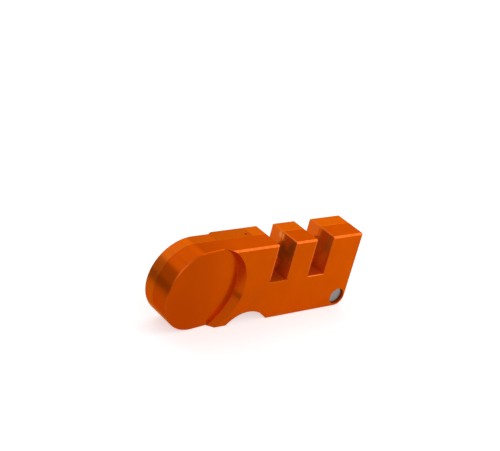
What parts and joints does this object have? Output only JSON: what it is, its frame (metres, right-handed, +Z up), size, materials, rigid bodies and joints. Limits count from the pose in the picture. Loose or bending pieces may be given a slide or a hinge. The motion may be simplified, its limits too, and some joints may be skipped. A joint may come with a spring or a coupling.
{
  "type": "knife sharpener",
  "caption": "Pocket knife sharpener: split orange metal body with blade slots that hold crossed inserts, round grip end with thumb recesses, and a fold-out tapered rod.",
  "frame": {"origin": "centre of the bounding box's bottom face, on the plane of the resting edge", "axes": "+X along the body from the round grip end towards the slots and the pivot, +Y from the front half to the back half, +Z up, the way the slots open"},
  "size_m": [0.086, 0.015, 0.0312],
  "materials": {
    "front_anodised": "satin orange anodised",
    "back_anodised": "satin orange anodised, slightly brighter",
    "pivot_steel": "satin grey",
    "bright_steel": "satin",
    "black_steel": "dark oxide",
    "bronze": "machined",
    "carbide": "ground, dull",
    "ceramic": "fine matte white, opaque",
    "diamond_coat": "fine grit coating, sparkling grey"
  },
  "bodies": {
    "body": {"front_shell": "front_anodised", "back_shell": "back_anodised", "carbide_bit_front": "carbide", "carbide_bit_back": "carbide", "ceramic_rod_front": "ceramic", "ceramic_rod_back": "ceramic", "insert_set_screws": "black_steel", "case_screws": "black_steel", "thread_inserts": "bronze", "dowel_pins": "bright_steel", "pivot_sleeve": "pivot_steel", "pivot_screw": "pivot_steel", "pivot_washer_front": "bronze", "pivot_washer_back": "bronze", "detent_spring": "bright_steel", "rod_magnet": "bright_steel"},
    "rod_arm": {"rod_hub": "bright_steel", "pivot_bush": "bronze", "diamond_rod": "diamond_coat", "rod_cross_pin": "black_steel"}
  },
  "joints": [
    {"name": "rod_hinge", "type": "hinge", "parent": "body", "child": "rod_arm", "pos_m": [0.0388, 0, 0.0042], "axis": [0, -1, 0], "range_deg": [0, 180], "deforming": ["detent_spring"]}
  ]
}
